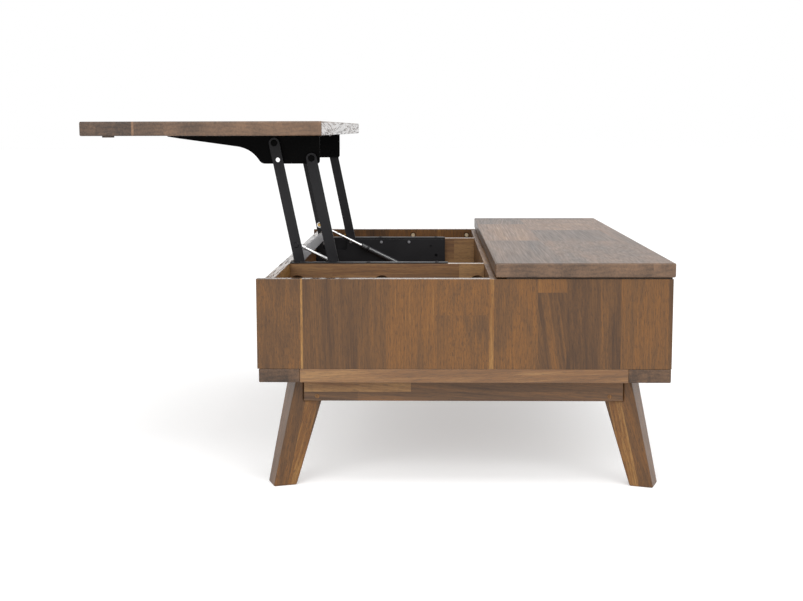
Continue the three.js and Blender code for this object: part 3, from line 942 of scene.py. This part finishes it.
def cross_recess(tree, given, head):
    """Cuts a cross-shaped driver recess into the head."""
    nodes, link = tree.nodes, tree.links.new
    cutters = []
    for length_x, length_y in ((1.1, 0.24), (0.24, 1.1)):
        size = nodes.new("ShaderNodeCombineXYZ")
        for axis, factor in (("X", length_x), ("Y", length_y), ("Z", 0.6)):
            scaled = nodes.new("ShaderNodeMath")
            scaled.operation = "MULTIPLY"
            scaled.inputs[1].default_value = factor
            link(given["Head Radius"], scaled.inputs[0])
            link(scaled.outputs[0], size.inputs[axis])
        cube = nodes.new("GeometryNodeMeshCube")
        link(size.outputs[0], cube.inputs["Size"])
        rise = nodes.new("ShaderNodeCombineXYZ")
        link(given["Head Height"], rise.inputs["Z"])
        lift = nodes.new("GeometryNodeTransform")
        link(cube.outputs["Mesh"], lift.inputs["Geometry"])
        link(rise.outputs[0], lift.inputs["Translation"])
        cutters.append(lift.outputs["Geometry"])
    carve = nodes.new("GeometryNodeMeshBoolean")
    carve.operation = "DIFFERENCE"
    link(head, carve.inputs[0])
    for cutter in cutters:
        link(cutter, carve.inputs[1])
    return carve.outputs["Mesh"]


def fasteners(name, tree, spots, radius, height, slot, body):
    """Heads of one kind on one body, from (place, direction) pairs, as one plain mesh."""
    seeds = bpy.data.meshes.new(name + "_points")
    seeds.from_pydata([tuple(place) for place, _ in spots], [], [])
    facing = seeds.attributes.new("facing", "FLOAT_VECTOR", "POINT")
    for item, (_, direction) in zip(facing.data, spots):
        item.vector = direction
    holder = bpy.data.objects.new(name + "_points", seeds)
    bpy.context.scene.collection.objects.link(holder)
    modifier = holder.modifiers.new("Heads", "NODES")
    modifier.node_group = tree
    wanted = {"Head Radius": radius, "Head Height": height, "Finish": materials[slot]}
    for item in tree.interface.items_tree:
        if item.in_out == "INPUT" and item.name in wanted:
            modifier[item.identifier] = wanted[item.name]
    depsgraph = bpy.context.evaluated_depsgraph_get()
    mesh = bpy.data.meshes.new_from_object(holder.evaluated_get(depsgraph), depsgraph=depsgraph)
    mesh.name = name
    bpy.data.objects.remove(holder)
    return new_piece(name, mesh, slot, body)


class TABLE_OT_fasteners(bpy.types.Operator):
    """Put rivets and screws on the channels, arms, brackets and end panels"""

    bl_idname = "coffee_table.fasteners"
    bl_label = "Fasteners"

    def execute(self, context):
        steel = context.scene.table_steel
        rivet = fastener_tree("rivet_heads", False)
        screw = fastener_tree("screw_heads", True)
        case_rivets, case_screws, lid_screws = [], [], []
        arm_rivets, panel_screws = [], []
        from_edge = 0.009  # screws stand in from the edge of their lip or flange
        from_connector = 0.186  # along the end panel
        for word, side in ENDS:
            low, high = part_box("base_channel_" + word)
            inner = high.y if side < 0 else low.y
            lip_y = (low.y if side < 0 else high.y) - side * from_edge
            inward = Vector((0, -side, 0))
            for x in (0.0865, 0.1635, 0.2325):
                case_rivets.append((Vector((low.x + x, inner - side * 0.0003, high.z - 0.0105)), inward))
            for x in (0.02, 0.16, 0.30):
                case_screws.append((Vector((low.x + x, lip_y, high.z + 0.0001)), Z))
            stud = middle_of("strut_stud_" + word)
            arm_low, arm_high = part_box("first_arm_" + word)
            outer = arm_low.y if side < 0 else arm_high.y
            arm_rivets.append((Vector((stud.x, outer - side * 0.0002, stud.z)), Vector((0, side, 0))))
            connector = middle_of(f"connector_{word}_1")
            panel_low, panel_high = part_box("end_panel_" + word)
            panel_face = panel_high.y if side < 0 else panel_low.y
            panel_place = Vector((connector.x - from_connector, panel_face, connector.z + 0.001))
            panel_screws.append((panel_place, inward))
            bracket_low, bracket_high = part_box("top_bracket_" + word)
            flange_y = (bracket_low.y if side > 0 else bracket_high.y) + side * from_edge
            for x in (0.05, 0.13, 0.21, 0.29):
                under = Vector((bracket_low.x + x, flange_y, bracket_high.z - 0.0031))
                lid_screws.append((under, -Z))
        fasteners("channel_rivets", rivet, case_rivets, steel.rivet_radius, 0.0012, "grey_steel", "case")
        fasteners("channel_screws", screw, case_screws, steel.screw_radius, 0.0014, "black_steel", "case")
        fasteners("arm_rivets", rivet, arm_rivets, 0.0062, 0.0014, "black_steel", "first_arms")
        fasteners("panel_screws", rivet, panel_screws, 0.0040, 0.0024, "brass_stud", "case")
        fasteners("bracket_screws", screw, lid_screws, steel.screw_radius, 0.0018, "zinc_steel", "moving_top")
        return {"FINISHED"}


class TABLE_OT_pads(bpy.types.Operator):
    """Make the bumper pads, the spacer strips and the connectors in the end panels"""

    bl_idname = "coffee_table.pads"
    bl_label = "Pads and Connectors"

    def execute(self, context):
        edge = context.scene.table_steel.sheet_edge
        for word, _ in ENDS:
            steel_piece("bumper_" + word, "rubber_pad", edge * 2)
            steel_piece("fixed_top_spacer_" + word, "rubber_pad", edge)
            for index in (1, 2):
                steel_piece(f"connector_{word}_{index}", "pale_plastic", edge * 2)
        return {"FINISHED"}


# ---- Stage ------------------------------------------------------------------------------------
class TABLE_OT_stage(bpy.types.Operator):
    """Set the pale floor, the white surround, the soft lights and the camera"""

    bl_idname = "coffee_table.stage"
    bl_label = "Stage"

    def execute(self, context):
        stage = context.scene.table_stage
        self.floor(stage)
        self.surround(context, stage)
        self.lights()
        self.camera(context, stage)
        return {"FINISHED"}

    def floor(self, stage):
        size = 40.0
        mesh = bpy.data.meshes.new("floor")
        corners = [(-size, -size, 0), (size, -size, 0), (size, size, 0), (-size, size, 0)]
        mesh.from_pydata(corners, [], [(0, 1, 2, 3)])
        shader = Shader("floor_paper")
        place = shader.node("ShaderNodeTexCoord").outputs["Object"]
        fibre = shader.noise(place, 3.0, 2)
        paper = stage.paper
        shade = shader.mix(fibre, paper, toned(paper, 1.02))
        glow = {"Emission_Color": paper, "Emission_Strength": stage.floor_glow}
        mesh.materials.append(shader.finish(Base_Color=shade, Roughness=0.9, **glow))
        floor = bpy.data.objects.new("floor", mesh)
        bpy.context.scene.collection.objects.link(floor)

    def surround(self, context, stage):
        world = bpy.data.worlds.new("surround")
        world.use_nodes = True
        background = world.node_tree.nodes["Background"]
        background.inputs["Color"].default_value = (1, 1, 1, 1)
        background.inputs["Strength"].default_value = stage.surround
        context.scene.world = world

    def lights(self):
        for name, place, size, power in (
            ("key_light", (-1.6, -3.6, 2.1), 2.4, 68),
            ("fill_light", (2.2, -3.2, 1.9), 2.0, 36),
            ("top_light", (0.3, -1.3, 2.6), 1.2, 34),
        ):
            data = bpy.data.lights.new(name, "AREA")
            data.energy = power
            data.size = size
            light = bpy.data.objects.new(name, data)
            light.location = place
            aim = Vector((CENTRE_X, 0, 0.3)) - Vector(place)
            light.rotation_euler = aim.to_track_quat("-Z", "Y").to_euler()
            bpy.context.scene.collection.objects.link(light)

    def camera(self, context, stage):
        pitch, turn, roll = math.radians(7.4736), math.radians(1.334), math.radians(-0.132)
        data = bpy.data.cameras.new("camera")
        data.sensor_width = 36.0
        data.lens = stage.focal_length
        camera = bpy.data.objects.new("camera", data)
        place = Vector((CENTRE_X - 0.0590, -2.9795, 0.6729))
        camera.matrix_world = (
            Matrix.Translation(place)
            @ Matrix.Rotation(turn, 4, "Z")
            @ Matrix.Rotation(math.pi / 2 - pitch, 4, "X")
            @ Matrix.Rotation(roll, 4, "Z")
        )
        context.scene.collection.objects.link(camera)
        context.scene.camera = camera
        context.scene.view_settings.view_transform = "Standard"


class TABLE_PT_panel(bpy.types.Panel):
    """Lists the table's settings and pieces"""

    bl_label = "Coffee Table"
    bl_idname = "TABLE_PT_panel"
    bl_space_type = "VIEW_3D"
    bl_region_type = "UI"
    bl_category = "Coffee Table"

    def draw(self, context):
        layout = self.layout
        for group in (context.scene.table_wood, context.scene.table_steel, context.scene.table_stage):
            box = layout.box()
            for name in group.__annotations__:
                box.prop(group, name)
        for operator in OPERATORS:
            layout.operator(operator.bl_idname)


OPERATORS = (
    TABLE_OT_stage,
    TABLE_OT_tops,
    TABLE_OT_case,
    TABLE_OT_bottom_frame,
    TABLE_OT_stand,
    TABLE_OT_linkages,
    TABLE_OT_struts,
    TABLE_OT_fasteners,
    TABLE_OT_pads,
)
SETTINGS = (("table_wood", WoodSettings), ("table_steel", SteelSettings), ("table_stage", StageSettings))


def register():
    for name, group in SETTINGS:
        bpy.utils.register_class(group)
        setattr(bpy.types.Scene, name, bpy.props.PointerProperty(type=group))
    for cls in OPERATORS + (TABLE_PT_panel,):
        bpy.utils.register_class(cls)


def unregister():
    for cls in reversed(OPERATORS + (TABLE_PT_panel,)):
        bpy.utils.unregister_class(cls)
    for name, group in reversed(SETTINGS):
        delattr(bpy.types.Scene, name)
        bpy.utils.unregister_class(group)


def main():
    register()
    make_materials()
    for operator in OPERATORS:
        call = getattr(bpy.ops.coffee_table, operator.bl_idname.split(".")[1])
        call()


if __name__ == "__main__":
    main()
